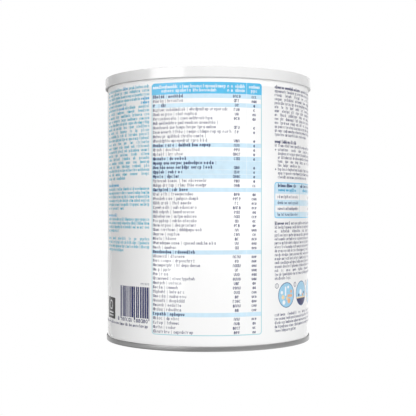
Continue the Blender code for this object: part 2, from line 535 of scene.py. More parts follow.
def small_print_tree(bar, bow, oval):
    """Sets marks along each edge of the sheet, one edge for each word, and draws each mark at random."""
    tree = new_tree("Small print", PRINT_INPUTS + (
        ("Pitch", "Float", None),
        ("Letter Width", "Float", None),
        ("Height", "Float", None),
        ("Stroke", "Float", None),
        ("Last Mark", "Int", ALL_MARKS - 1),
        ("Seed", "Int", 1),
    ))
    given = add(tree, "NodeGroupInput").outputs
    sizes = {
        "Width": given["Letter Width"],
        "Height": given["Height"],
        "Stroke": given["Stroke"],
        "Thickness": thickness_of_ink(tree, given),
    }
    pick = add(tree, "FunctionNodeRandomValue", {"Seed": given["Seed"]}, data_type="INT")
    bounds = [socket for socket in pick.inputs if socket.type == "INT" and socket.name in ("Min", "Max")]
    bounds[0].default_value = 0
    tree.links.new(given["Last Mark"], bounds[1])
    set_out = add(tree, "GeometryNodeInstanceOnPoints", {
        "Points": stepped(tree, given["Geometry"], given["Pitch"]),
        "Instance": marks_to_pick(tree, sizes, bar, bow, oval),
        "Pick Instance": True,
        "Instance Index": next(socket for socket in pick.outputs if socket.type == "INT"),
    })
    real = add(tree, "GeometryNodeRealizeInstances", {"Geometry": set_out.outputs[0]})
    bent = laid_on_wall(tree, given, real.outputs[0])
    flat = add(tree, "GeometryNodeSetShadeSmooth", {"Geometry": bent, "Shade Smooth": False})
    finish_tree(tree, flat.outputs[0], given["Material"])
    return tree


def printed(name, tree, points, edges, faces, values):
    """A piece of print: what the tree makes of a sheet with these points, in mm, and edges or faces."""
    sheet = bpy.data.meshes.new(name + "_sheet")
    sheet.from_pydata([(x * MM, y * MM, 0.0) for x, y in points], edges, faces)
    add_to_tin(grown(name, tree, sheet, values), "printed_tinplate")


def fields(name, shapes, finish, proud=FIELD_PROUD):
    """A piece of ink fields. Each shape is a row of columns (x, low y, high y), in mm."""
    points, faces = [], []
    for columns in shapes:
        first = len(points)
        for x, low, high in columns:
            points += [(x, low), (x, high)]
        for corner in range(first, len(points) - 2, 2):
            faces.append((corner, corner + 2, corner + 3, corner + 1))
    printed(name, FIELD, points, [], faces, {"Proud": proud, "Material": finish})


def lines(name, paths, width, finish, proud=OVERPRINT_PROUD):
    """A piece of printed lines. Each path is its points (x, y), in mm.

    A path closes where its last point is its first.
    """
    points, edges = [], []
    for path in paths:
        first = len(points)
        closed = path[0] == path[-1]
        points += path[:-1] if closed else path
        last = len(points) - 1
        edges += [(i, i + 1) for i in range(first, last)]
        if closed:
            edges.append((last, first))
    printed(name, LINE, points, edges, [], {"Width": width * MM, "Proud": proud, "Material": finish})


# The share of the pitch that a mark takes up
LETTER_SHARE = 0.86


class Style:
    """A size and weight of small print, in mm."""

    def __init__(self, pitch, height, stroke, marks=ALL_MARKS):
        self.pitch = pitch
        self.height = height
        self.stroke = stroke
        self.width = LETTER_SHARE * pitch
        self.last_mark = marks - 1


# The last mark of a word stands at least this far along it, in pitches. The path is a little longer, in mm,
# so that rounding doesn't lose the last mark.
LEAST_LAST = 0.6
PATH_SPARE = 0.001


def small_print(name, words, style, finish, seed):
    """A piece of small print. Each word is (left end, right end, middle height of its letters), in mm."""
    points, edges = [], []
    for left, right, middle in words:
        foot = middle - style.height / 2
        last = max(right - style.pitch / 2, left + LEAST_LAST * style.pitch)
        edges.append((len(points), len(points) + 1))
        points += [(left + style.pitch / 2, foot), (last + PATH_SPARE, foot)]
    printed(name, SMALL_PRINT, points, edges, [], {
        "Pitch": style.pitch * MM,
        "Letter Width": style.width * MM,
        "Height": style.height * MM,
        "Stroke": style.stroke * MM,
        "Last Mark": style.last_mark,
        "Seed": seed,
        "Proud": TEXT_PROUD,
        "Material": finish,
    })


def quarter_turns(radius):
    """Angles of a quarter of a turn in steps that are fine enough for this radius, in mm."""
    count = max(QUARTER_STEPS, math.ceil(math.pi / 2 * radius / PRINT_STEP))
    return [math.pi / 2 * step / count for step in range(count + 1)]


def rectangle(left, right, low, high, corner=0.0, square_foot=False):
    """Columns of a rectangle whose corners are square, or round, or round at the top alone."""
    turns = [corner * (1 - math.cos(turn)) for turn in quarter_turns(corner)] if corner else [0.0]
    straight = right - left - 2 * corner
    count = max(1, math.ceil(straight / PRINT_STEP))
    places = [left + turn for turn in turns]
    places += [left + corner + straight * step / count for step in range(1, count)]
    places += [right - turn for turn in reversed(turns)]
    columns = []
    for x in places:
        inset = corner - min(corner, x - left, right - x)
        cut = corner - math.sqrt(max(0.0, corner ** 2 - inset ** 2))
        columns.append((x, low if square_foot else low + cut, high - cut))
    return columns


def disc(x, y, radius, low=None, high=None):
    """Columns of a disc, or of the part of it between two heights."""
    columns = []
    quarter = quarter_turns(radius)
    for turn in quarter + [math.pi - turn for turn in reversed(quarter[:-1])]:
        half = radius * math.sin(turn)
        foot = y - half if low is None else max(low, y - half)
        head = y + half if high is None else min(high, y + half)
        if head >= foot:
            columns.append((x - radius * math.cos(turn), foot, head))
    return columns


def hanging(left, right, low, high):
    """Columns from a curve, which is a function of x, up to a height."""
    count = math.ceil((right - left) / PRINT_STEP)
    places = [left + (right - left) * step / count for step in range(count + 1)]
    return [(x, low(x), high) for x in places]


def rounded_path(left, right, low, high, corner):
    """A closed path round a rectangle with round corners."""
    centres = (
        (right - corner, high - corner, 90), (right - corner, low + corner, 0),
        (left + corner, low + corner, -90), (left + corner, high - corner, -180),
    )
    path = []
    for x, y, start in centres:
        path += arc(x, y, corner, start, start - 90, CORNER_STEPS)
    return path + path[:1]


def ring_path(x, y, radius):
    """A closed path round a circle."""
    path = arc(x, y, radius, 0, 360, RING_STEPS)
    return path[:-1] + path[:1]


def new_material(name, roughness, metallic=0.0):
    """A material with a Principled shader, and the shader itself."""
    made = bpy.data.materials.new(name)
    made.use_nodes = True
    shader = made.node_tree.nodes["Principled BSDF"]
    shader.inputs["Roughness"].default_value = roughness
    shader.inputs["Metallic"].default_value = metallic
    return made, shader


# The range that noise keeps to, its fine detail, and a pattern that is stretched nowhere
NOISE_RANGE = (0.3, 0.7)
NOISE_DETAIL = 2.0
EVEN = (1.0, 1.0, 1.0)


def own_place(tree):
    """The place on the piece itself, which is also its place in the tin."""
    return add(tree, "ShaderNodeTexCoord").outputs["Object"]


def noise(tree, scale, stretch=EVEN):
    """Noise over the piece's own place, from 0 to 1. The scale is in patches for each metre."""
    mapping = add(tree, "ShaderNodeMapping", {"Vector": own_place(tree), "Scale": stretch})
    wired = {"Vector": mapping.outputs[0], "Scale": scale, "Detail": NOISE_DETAIL}
    return add(tree, "ShaderNodeTexNoise", wired).outputs["Fac"]


def spread(tree, value, low, high):
    """A noise value, which keeps near its middle, spread from low to high."""
    return ranged(tree, value, *NOISE_RANGE, low, high)


def by_height(tree, low, high, first, last):
    """A value that goes from first to last as the height goes from low to high."""
    return ranged(tree, separated(tree, own_place(tree))["Z"], low, high, first, last)


def tinted(tree, value, first, second):
    """A colour between two, as the value says."""
    mix = add(tree, "ShaderNodeMix", {"Factor": value}, data_type="RGBA")
    colours = [socket for socket in mix.inputs if socket.type == "RGBA"]
    colours[0].default_value = (*first, 1.0)
    colours[1].default_value = (*second, 1.0)
    return next(socket for socket in mix.outputs if socket.type == "RGBA")


def relief(tree, shader, scale, depth, stretch=EVEN):
    """Faint waves in the surface, this deep."""
    wired = {"Height": noise(tree, scale, stretch), "Distance": depth, "Strength": 1.0}
    tree.links.new(add(tree, "ShaderNodeBump", wired).outputs["Normal"], shader.inputs["Normal"])


# Finish of the lid, which is matt round the foot of its skirt, where painted shade also darkens its colour
LID_WHITE = (0.735, 0.750)
LID_ROUGHNESS = 0.08
LID_SHINE = 0.5
LID_RIPPLE = 0.008 * MM
FOOT_ZONE = (LID_FOOT + 0.05 * MM, LID_FOOT + 0.2 * MM)
# Share of the white left at the foot of the skirt, as painted shade
FOOT_PAINTED_SHADE = 0.84
FOOT_ROUGHNESS = 0.7
FOOT_SHINE = 0.1


def lid_plastic():
    """White moulded plastic, glossy, with the faint flow and ripple that moulding leaves, and painted shade
    on the matt foot of its skirt.
    """
    made, shader = new_material("lid_plastic", LID_ROUGHNESS)
    tree = made.node_tree
    flow = spread(tree, noise(tree, scale=90.0), *LID_WHITE)
    # Painted shade: the white is darkened towards the foot of the skirt, standing in for the shade under the
    # lid
    shade = by_height(tree, *FOOT_ZONE, FOOT_PAINTED_SHADE, 1.0)
    tree.links.new(maths(tree, "MULTIPLY", flow, shade), shader.inputs["Base Color"])
    roughness = by_height(tree, *FOOT_ZONE, FOOT_ROUGHNESS, LID_ROUGHNESS)
    tree.links.new(roughness, shader.inputs["Roughness"])
    shine = by_height(tree, *FOOT_ZONE, FOOT_SHINE, LID_SHINE)
    tree.links.new(shine, shader.inputs["Specular IOR Level"])
    relief(tree, shader, scale=150.0, depth=LID_RIPPLE)
    return made


# Finish of the wall. Close under the lid it is matt, and painted light whitens it there, cancelling the
# shade under the lid.
WALL_WHITE = (0.795, 0.805)
WALL_ROUGHNESS = 0.20
WALL_WAVES = 0.0008 * MM
PAINTED_LIGHT_ZONE = (LID_FOOT - 4.5 * MM, LID_FOOT - 0.5 * MM)
PAINTED_LIGHT_BY = 0.195
MATT_ZONE = (LID_FOOT - 4.0 * MM, LID_FOOT - 2.0 * MM)
MATT_ROUGHNESS = 0.9


def wall_lacquer():
    """White lacquer over the tinplate, glossy, but matt close under the lid, where painted light makes it
    brighter.
    """
    made, shader = new_material("wall_lacquer", WALL_ROUGHNESS)
    tree = made.node_tree
    # Painted light: the white is raised close under the lid, where the lid's overhang shades the wall
    painted_light = by_height(tree, *PAINTED_LIGHT_ZONE, 0.0, PAINTED_LIGHT_BY)
    white = maths(tree, "ADD", spread(tree, noise(tree, scale=60.0), *WALL_WHITE), painted_light)
    tree.links.new(white, shader.inputs["Base Color"])
    roughness = by_height(tree, *MATT_ZONE, WALL_ROUGHNESS, MATT_ROUGHNESS)
    tree.links.new(roughness, shader.inputs["Roughness"])
    relief(tree, shader, scale=400.0, depth=WALL_WAVES)
    return made


# Finish of the seamed end, whose pattern is drawn out by rolling
TINPLATE_GREYS = ((0.34, 0.34, 0.34), (0.375, 0.375, 0.375))
TINPLATE_ROUGHNESS = 0.32
TINPLATE_WAVES = 0.001 * MM
ROLLED = (1.0, 1.0, 60.0)


def bare_tinplate():
    """Rolled tinplate, grey and half bright."""
    made, shader = new_material("bare_tinplate", TINPLATE_ROUGHNESS, metallic=1.0)
    tree = made.node_tree
    rolling = spread(tree, noise(tree, scale=40.0, stretch=ROLLED), 0.0, 1.0)
    tree.links.new(tinted(tree, rolling, *TINPLATE_GREYS), shader.inputs["Base Color"])
    relief(tree, shader, scale=40.0, depth=TINPLATE_WAVES, stretch=ROLLED)
    return made


# Styles of small print, in mm
TABLE_THIN = Style(1.1, 1.33, 0.225)
TABLE_CAPITALS = Style(1.35, 1.80, 0.23, LOW_MARKS)
TABLE_BOLD = Style(1.2, 1.45, 0.42)
TABLE_BOLD_CAPITALS = Style(1.45, 1.9, 0.40, LOW_MARKS)
TABLE_FIGURES = Style(1.2, 1.8, 0.28, LOW_MARKS)
UNIT_PRINT = Style(1.1, 1.50, 0.345, ROUND_MARKS)
HEADER_PRINT = Style(1.2, 1.45, 0.29)
SIDE_THIN = Style(1.0, 1.35, 0.215)
LEFT_THIN = Style(1.0, 1.38, 0.28)
SIDE_FIRM = Style(1.0, 1.35, 0.25)
SIDE_HEAVY = Style(1.0, 1.35, 0.29)
SIDE_FINE = Style(1.0, 1.35, 0.15, LOW_MARKS)
SIDE_BOLD = Style(1.15, 1.50, 0.50)
CODE_FIGURES = Style(1.9, 2.4, 0.39, LOW_MARKS)

# Marks in a word, and the usual gap after a word and the gaps in a loose line, in pitches
WORD_LENGTHS = (2, 3, 3, 4, 5, 5, 6, 7, 8, 9, 10)
WORD_GAP = 0.65
LOOSE_GAPS = (1.5, 3.5)
# Room at the end of a line, in pitches: below the first the line is full, and below the second the last word
# takes it up
LINE_FULL = 1.5
SHORT_REST = 4


def line_of_words(draw, left, right, middle, style, gap=WORD_GAP):
    """Words of a few letters each that fill a line from end to end."""
    words, at = [], left
    while at < right - LINE_FULL * style.pitch:
        end = at + draw.choice(WORD_LENGTHS) * style.pitch
        if right - end < SHORT_REST * style.pitch:
            end = right
        words.append((at, end, middle))
        at = end + gap * style.pitch
    return words


def paragraph(draw, edges, extent, pitch, style, loose=0.2):
    """Lines of words from edge to edge. A share of them are set loose.

    The extent is the height of the first line, how many lines there are, and where the last one ends.
    """
    left, right = edges
    top, count, last = extent
    words = []
    for line in range(count):
        end = last if line == count - 1 else right
        gap = draw.uniform(*LOOSE_GAPS) if draw.random() < loose else WORD_GAP
        words += line_of_words(draw, left, end, top - pitch * line, style, gap)
    return words


# Main table, in mm
TABLE_LEFT = -34.25
TABLE_RIGHT = 32.55
TABLE_LOW = 9.0
TABLE_HIGH = 154.1
TABLE_CORNER = 1.8
TABLE_LINE = 0.5
HEADER_LOW = 147.4
FIRST_ROW = 146.1
ROW_PITCH = 2.554
ROW_GAP = 0.12
TEXT_LEFT = -33.5
VALUE_MIDDLE = 16.65
UNIT_MIDDLE = 27.4
UNIT_DROP = 0.2
UNIT_LINE = 22.65
UNIT_LINE_WIDTH = 0.13

# Each line of words in the header: its height, then the ends of its words
HEADER_WORDS = (
    (151.6, ((-33.5, -17.4), (-16.4, 10.2), (11.0, 14.4), (15.6, 21.6), (24.0, 31.2))),
    (149.3, ((-27.9, -20.0), (-19.0, -9.9), (-8.9, 4.8), (11.0, 14.4), (15.6, 21.6), (25.4, 29.6))),
)

# The length of each row's text, section by section: first its bold rows, then its plain rows
TABLE_SECTIONS = (
    ((19,), (19,)),
    ((9,), (45, 27, 36, 39, 38, 47, 32, 33)),
    ((35,), (17, 19)),
    ((21, 38, 36, 19, 17), (33, 33)),
    ((22,), (25, 28, 24, 27, 26, 27, 27, 27, 30, 17, 15, 38, 15)),
    ((26,), (20, 26, 29, 12, 10, 26, 18, 16, 20, 21, 20, 18, 18)),
    ((20,), (17, 17, 15, 25)),
)

# Rows by number: those that run on into the next row, those next rows, and those without figures
RUN_ON_ROWS = (7, 10, 16)
UNBROKEN_ROWS = (8, 11, 17)
EMPTY_ROWS = (7, 10, 16, 22, 36, 50)

# The divider in a row: its share of the way along the text, the room on each side of it, its reach below and
# above the middle of the row, and its width
DIVIDER_SHARE = (0.42, 0.52)
DIVIDER_ROOM = 1.2
DIVIDER_DROP = 0.9
DIVIDER_RISE = 1.1
DIVIDER_WIDTH = 0.16

# Half lengths, in marks, of the figures, and of the units in the first rows, in the next ones and in the
# rest. Then the last of the first rows, and the last of the next ones.
FIGURE_HALVES = (1.0, 1.5, 1.5, 2.0)
FIRST_UNITS = (1.5, 2.0)
SHORT_UNITS = (0.5, 0.5, 0.5, 1.0)
LONG_UNITS = (1.0, 1.5, 1.5)
LAST_FIRST_ROW = 2
LAST_SHORT_ROW = 22


def table_rows():
    """(row number from 1, height of its middle, text length, whether it is bold) for each row."""
    rows = []
    for bold_lengths, plain_lengths in TABLE_SECTIONS:
        for length, bold in [(x, True) for x in bold_lengths] + [(x, False) for x in plain_lengths]:
            rows.append((len(rows) + 1, FIRST_ROW - ROW_PITCH * len(rows), length, bold))
    return rows


def row_band(row, middle):
    """The pale band of a bold row, with a hair of white above and below it but for where rows run on."""
    low = middle - (ROW_PITCH - (0.0 if row in RUN_ON_ROWS else ROW_GAP)) / 2
    high = middle + (ROW_PITCH - (0.0 if row in UNBROKEN_ROWS else ROW_GAP)) / 2
    return rectangle(TABLE_LEFT, TABLE_RIGHT, low, high)


def unit_halves(row):
    """Half lengths that the unit in this row is drawn from, in marks."""
    if row <= LAST_FIRST_ROW:
        return FIRST_UNITS
    return SHORT_UNITS if row <= LAST_SHORT_ROW else LONG_UNITS


def table_text(inks):
    """The rows of the table: bands behind the bold ones, words with a divider, figures and units."""
    draw = random.Random(11)
    bands, dividers, figures, units = [], [], [], []
    thin, thin_capitals, bold, bold_capitals = [], [], [], []
    for row, middle, length, is_bold in table_rows():
        if is_bold:
            bands.append(row_band(row, middle))
            words, capitals, style, capital = bold, bold_capitals, TABLE_BOLD, TABLE_BOLD_CAPITALS
        else:
            words, capitals, style, capital = thin, thin_capitals, TABLE_THIN, TABLE_CAPITALS
        start = TEXT_LEFT + capital.pitch
        end = TEXT_LEFT + length
        capitals.append((TEXT_LEFT, start, middle + (capital.height - style.height) / 2))
        share = 1.0 if row in RUN_ON_ROWS else draw.uniform(*DIVIDER_SHARE)
        divider = TEXT_LEFT + length * share
        if row in UNBROKEN_ROWS:
            words += line_of_words(draw, start, end, middle, style)
        else:
            words += line_of_words(draw, start, divider - DIVIDER_ROOM, middle, style)
            dividers.append([(divider, middle - DIVIDER_DROP), (divider, middle + DIVIDER_RISE)])
            if share < 1.0:
                words += line_of_words(draw, divider + DIVIDER_ROOM, end, middle, style)
        if row not in EMPTY_ROWS:
            half = draw.choice(FIGURE_HALVES) * TABLE_FIGURES.pitch
            figures.append((VALUE_MIDDLE - half, VALUE_MIDDLE + half, middle))
            half = draw.choice(unit_halves(row)) * UNIT_PRINT.pitch
            units.append((UNIT_MIDDLE - half, UNIT_MIDDLE + half, middle - UNIT_DROP))
    fields("table_bands", bands, inks["pale_blue"])
    small_print("table_print", thin, TABLE_THIN, inks["navy"], 1)
    small_print("table_capitals", thin_capitals, TABLE_CAPITALS, inks["navy"], 20)
    small_print("table_bold_print", bold, TABLE_BOLD, inks["navy"], 2)
    small_print("table_bold_capitals", bold_capitals, TABLE_BOLD_CAPITALS, inks["navy"], 21)
    small_print("table_figures", figures, TABLE_FIGURES, inks["navy"], 3)
    small_print("table_units", units, UNIT_PRINT, inks["navy"], 19)
    lines("table_dividers", dividers, DIVIDER_WIDTH, inks["navy"], TEXT_PROUD)


def table_rules(inks):
    """The frame round the rows, and the line between the figures and the units."""
    inset = TABLE_LINE / 2
    left, right, low = TABLE_LEFT + inset, TABLE_RIGHT - inset, TABLE_LOW + inset
    corner = TABLE_CORNER - inset
    path = [(left, HEADER_LOW)]
    path += arc(left + corner, low + corner, corner, 180, 270, CORNER_STEPS)
    path += arc(right - corner, low + corner, corner, 270, 360, CORNER_STEPS)
    path += [(right, HEADER_LOW)]
    lines("table_frame", [path], TABLE_LINE, inks["teal"])
    upright = [(UNIT_LINE, TABLE_LOW + TABLE_LINE), (UNIT_LINE, TABLE_HIGH)]
    lines("table_unit_line", [upright], UNIT_LINE_WIDTH, inks["white"])


def main_table(inks):
    """The large table in the middle of the front."""
    header = rectangle(TABLE_LEFT, TABLE_RIGHT, HEADER_LOW, TABLE_HIGH, TABLE_CORNER, square_foot=True)
    fields("table_header", [header], inks["sky"])
    table_text(inks)
    table_rules(inks)
    heads = [(left, right, middle) for middle, ends in HEADER_WORDS for left, right in ends]
    small_print("table_header_print", heads, HEADER_PRINT, inks["white"], 4)


# Column at the left, in mm. Its first and sixth lines have a bold word in a gap, and its fourth and fifth
# lines end in one. Then come the extents of its paragraphs, and the height and end of each heading.
LEFT_COLUMN = (-82.9, -36.0)
SIDE_PITCH = 2.307
LEFT_TOP = 152.9
FIFTH_LINE = LEFT_TOP - 4 * SIDE_PITCH
SIXTH_LINE = LEFT_TOP - 5 * SIDE_PITCH
FIRST_GAP = (-60.1, -52.5)
FIRST_BOLD = (-59.3, -53.3, LEFT_TOP)
FIFTH_END = -55.3
END_BOLD_LEFT = -42.2
SIXTH_GAP = (-64.1, -56.8)
SIXTH_BOLD = (-63.3, -57.6, SIXTH_LINE)
SIXTH_WORD_GAP = 2.5
UPPER_LEFT_TEXT = (LEFT_TOP - SIDE_PITCH, 3, -43.0)
LONG_LEFT_TEXT = (SIXTH_LINE - SIDE_PITCH, 18, -56.6)
LOWER_LEFT_TEXTS = ((93.4, 6, -58.1), (75.4, 4, -63.7), (63.9, 4, -58.3))
LEFT_HEADINGS = ((95.75, -63.9), (77.7, -66.2))


def left_column(inks):
    """The turquoise column, and the bars and block below it."""
    draw = random.Random(23)
    left, right = LEFT_COLUMN
    thin = line_of_words(draw, left, FIRST_GAP[0], LEFT_TOP, LEFT_THIN)
    thin += line_of_words(draw, FIRST_GAP[1], right, LEFT_TOP, LEFT_THIN)
    thin += paragraph(draw, LEFT_COLUMN, UPPER_LEFT_TEXT, SIDE_PITCH, LEFT_THIN, loose=0.7)
    thin += line_of_words(draw, left, FIFTH_END, FIFTH_LINE, LEFT_THIN)
    thin += line_of_words(draw, left, SIXTH_GAP[0], SIXTH_LINE, LEFT_THIN)
    thin += line_of_words(draw, SIXTH_GAP[1], right, SIXTH_LINE, LEFT_THIN, SIXTH_WORD_GAP)
    thin += paragraph(draw, LEFT_COLUMN, LONG_LEFT_TEXT, SIDE_PITCH, LEFT_THIN, loose=0.7)
    for extent in LOWER_LEFT_TEXTS:
        thin += paragraph(draw, LEFT_COLUMN, extent, SIDE_PITCH, LEFT_THIN)
    bold = [FIRST_BOLD, SIXTH_BOLD]
    bold += [(END_BOLD_LEFT, right, LEFT_TOP - line * SIDE_PITCH) for line in (3, 4)]
    for middle, end in LEFT_HEADINGS:
        bold += line_of_words(draw, left, end, middle, SIDE_BOLD)
    small_print("left_column_print", thin, LEFT_THIN, inks["turquoise"], 5)
    small_print("left_column_bold_print", bold, SIDE_BOLD, inks["deep_turquoise"], 6)
    bars_and_foot(inks)
    dark_block(inks)


# Bars below the left column, in mm, and their widths and gaps in modules. The outermost bars and those in
# the middle reach lower, as guards. Words are (left end, right end, middle height).
BARS_LEFT = -61.7
BARS_RIGHT = -36.0
BARS_LOW = 17.7
BARS_HIGH = 36.0
BAR_MODULES = 95
BAR_WIDTHS = (3, 4, 4, 6)
BAR_GAPS = (1, 1, 1, 3)
GUARD_LOW = 16.4
GUARD_REACH = 3
BAR_FIGURES = ((-65.1, -63.2, 16.1), (-61.0, -49.6, 16.1), (-48.4, -37.0, 16.1))
BAR_NOTE = (-42.6, -36.1, 37.8)
LEFT_FOOT_LINE = (-92.0, -37.1, 12.9)


def bars_and_foot(inks):
    """Bars of random widths, which hold no number, with plain marks round them and a line below."""
    draw = random.Random(5)
    module = (BARS_RIGHT - BARS_LEFT) / BAR_MODULES
    middle = (BARS_LEFT + BARS_RIGHT) / 2
    bars, at = [], BARS_LEFT
    while at < BARS_RIGHT - 2 * module:
        wide = draw.choice(BAR_WIDTHS) * module
        from_guard = min(at - BARS_LEFT, BARS_RIGHT - at, abs(at - middle))
        low = GUARD_LOW if from_guard < GUARD_REACH * module else BARS_LOW
        bars.append(rectangle(at, min(at + wide, BARS_RIGHT), low, BARS_HIGH))
        at += wide + draw.choice(BAR_GAPS) * module
    fields("bars", bars, inks["navy"])
    small_print("bar_figures", BAR_FIGURES, CODE_FIGURES, inks["navy"], 7)
    foot = line_of_words(draw, *LEFT_FOOT_LINE, SIDE_HEAVY)
    small_print("left_foot_print", foot, SIDE_HEAVY, inks["navy"], 8)
    small_print("bar_note", [BAR_NOTE], SIDE_FINE, inks["navy"], 24)


# Dark block beside the bars, in mm: its left, right, low and high edges, and what is printed on it
BLOCK = (-83.6, -69.0, 15.0, 27.9)
BLOCK_CORNER = 0.8
BLOCK_RING_DROP = 4.6
BLOCK_RING_RADIUS = 2.6
BLOCK_RING_LINE = 0.7
STRIPE_HALF = 4.0
STRIPE_RISES = (1.6, 3.4)
STRIPE_HEIGHT = 0.7
STRIPE_CORNER = 0.3


def dark_block(inks):
    """The small black block, with a plain ring and two stripes."""
    left, right, low, high = BLOCK
    middle = (left + right) / 2
    fields("dark_block", [rectangle(left, right, low, high, BLOCK_CORNER)], inks["black"])
    ring = ring_path(middle, high - BLOCK_RING_DROP, BLOCK_RING_RADIUS)
    lines("dark_block_ring", [ring], BLOCK_RING_LINE, inks["white"])
    stripes = []
    left, right = middle - STRIPE_HALF, middle + STRIPE_HALF
    for rise in STRIPE_RISES:
        foot = low + rise
        stripes.append(rectangle(left, right, foot, foot + STRIPE_HEIGHT, STRIPE_CORNER))
    fields("dark_block_stripes", stripes, inks["white"], OVERPRINT_PROUD)


# Column at the right, in mm. A heading has its height and its end, and where text follows it in its line,
# that text has a start. Then come the extents of the paragraphs, and two of them have a bullet.
RIGHT_COLUMN = (41.9, 112.0)
RIGHT_PITCH = 2.306
UPPER_HEADING = (152.75, 67.8)
UPPER_START = 69.0
UPPER_TEXT = (152.75 - RIGHT_PITCH, 12, 79.0)
MIDDLE_HEADING = (120.9, 62.5)
MIDDLE_LINE = (41.9, 96.0, 118.7)
BULLET_COLUMN = (44.5, 112.0)
BULLET_TEXTS = ((116.3, 5, 68.7), (104.8, 3, 80.8))
BULLET_X = 42.7
BULLET_RADIUS = 0.45
LOWER_HEADING = (73.0, 55.5)
LOWER_START = 56.6
LOWER_TEXT = (73.0 - RIGHT_PITCH, 14, 56.4)
FOOT_TEXT = (19.4, 5, 62.3)


def right_column(inks):
    """The navy column: paragraphs, the small table, the discs and a last paragraph."""
    draw = random.Random(37)
    left, right = RIGHT_COLUMN
    first, second = BULLET_TEXTS
    thin = line_of_words(draw, UPPER_START, right, UPPER_HEADING[0], SIDE_THIN)
    thin += paragraph(draw, RIGHT_COLUMN, UPPER_TEXT, RIGHT_PITCH, SIDE_THIN, loose=0.5)
    thin += line_of_words(draw, *MIDDLE_LINE, SIDE_THIN)
    thin += paragraph(draw, BULLET_COLUMN, first, RIGHT_PITCH, SIDE_THIN, loose=0.5)
    thin += paragraph(draw, BULLET_COLUMN, second, RIGHT_PITCH, SIDE_THIN)
    thin += line_of_words(draw, LOWER_START, right, LOWER_HEADING[0], SIDE_THIN)
    thin += paragraph(draw, RIGHT_COLUMN, LOWER_TEXT, RIGHT_PITCH, SIDE_THIN)
    foot = paragraph(draw, RIGHT_COLUMN, FOOT_TEXT, RIGHT_PITCH, SIDE_FIRM)
    bold = []
    for middle, end in (UPPER_HEADING, MIDDLE_HEADING, LOWER_HEADING):
        bold += line_of_words(draw, left, end, middle, SIDE_BOLD)
    small_print("right_column_print", thin, SIDE_THIN, inks["navy"], 9)
    small_print("right_foot_print", foot, SIDE_FIRM, inks["navy"], 22)
    small_print("right_column_bold_print", bold, SIDE_BOLD, inks["navy"], 10)
    fields("bullets", [disc(BULLET_X, top, BULLET_RADIUS) for top, *_ in BULLET_TEXTS], inks["navy"])
    small_table(inks)
    disc_row(inks)


# Small table in the right column, in mm. Each line of its header has its height, then the ends of its words
# in each of the two columns. A row has its name's ends, and those of its two figures.
SMALL_LEFT = 41.8
SMALL_RIGHT = 111.0
SMALL_LOW = 76.2
SMALL_HIGH = 97.3
SMALL_CORNER = 1.5
SMALL_FRAME_INSET = 0.25
SMALL_FRAME_LINE = 0.42
SMALL_COLUMN = 66.95
SMALL_COLUMN_INSET = 0.5
SMALL_COLUMN_LINE = 0.35
SMALL_HEADER_LOW = 90.6
SMALL_NAVY_LINE = (95.2, ((44.4, 62.4), (68.1, 106.0)))
SMALL_CYAN_LINE = (92.6, ((44.8, 62.4), (72.0, 102.0)))
SMALL_BLUE_ROWS = ((83.6, 87.0), (76.4, 79.9))
SMALL_ROWS = (88.6, 85.1, 81.65, 78.2)
SMALL_NAME = (44.2, 65.1)
SMALL_FIGURES = ((85.0, 88.0), (99.0, 101.0))


def header_line(draw, line):
    """The words of one line of the small table's header."""
    middle, ends = line
    words = []
    for left, right in ends:
        words += line_of_words(draw, left, right, middle, SIDE_BOLD)
    return words


def small_table(inks):
    """Four rows under a pale header."""
    draw = random.Random(41)
    header = rectangle(SMALL_LEFT, SMALL_RIGHT, SMALL_HEADER_LOW, SMALL_HIGH, SMALL_CORNER, True)
    rows = [rectangle(SMALL_LEFT, SMALL_RIGHT, low, high) for low, high in SMALL_BLUE_ROWS]
    fields("small_table_bands", [header] + rows, inks["pale_blue"])
    left, right = SMALL_LEFT + SMALL_FRAME_INSET, SMALL_RIGHT - SMALL_FRAME_INSET
    low, high = SMALL_LOW + SMALL_FRAME_INSET, SMALL_HIGH - SMALL_FRAME_INSET
    path = rounded_path(left, right, low, high, SMALL_CORNER)
    lines("small_table_frame", [path], SMALL_FRAME_LINE, inks["sky"])
    low, high = SMALL_LOW + SMALL_COLUMN_INSET, SMALL_HIGH - SMALL_COLUMN_INSET
    upright = [(SMALL_COLUMN, low), (SMALL_COLUMN, high)]
    lines("small_table_column", [upright], SMALL_COLUMN_LINE, inks["teal"])
    bold = header_line(draw, SMALL_NAVY_LINE)
    blue = header_line(draw, SMALL_CYAN_LINE)
    thin = []
    for middle in SMALL_ROWS:
        thin += line_of_words(draw, *SMALL_NAME, middle, SIDE_FIRM)
        thin += [(left, right, middle) for left, right in SMALL_FIGURES]
    small_print("small_table_bold_print", bold, SIDE_BOLD, inks["navy"], 12)
    small_print("small_table_blue_print", blue, SIDE_BOLD, inks["cyan"], 13)
    small_print("small_table_print", thin, SIDE_FIRM, inks["navy"], 14)


# Row of discs below the right column, in mm
DISC_MIDDLES = (52.3, 69.7, 87.0, 104.4)
DISC_HEIGHT = 30.75
DISC_RADIUS = 7.4
DISC_LINE = 0.45
DISC_LINE_INSET = 0.1
NUMBER_LEFT = 8.6
NUMBER_HEIGHT = 36.5
NUMBER_RADIUS = 1.35
NUMBER_LINE = 0.3
NUMBER_MARK_HALF = 0.8

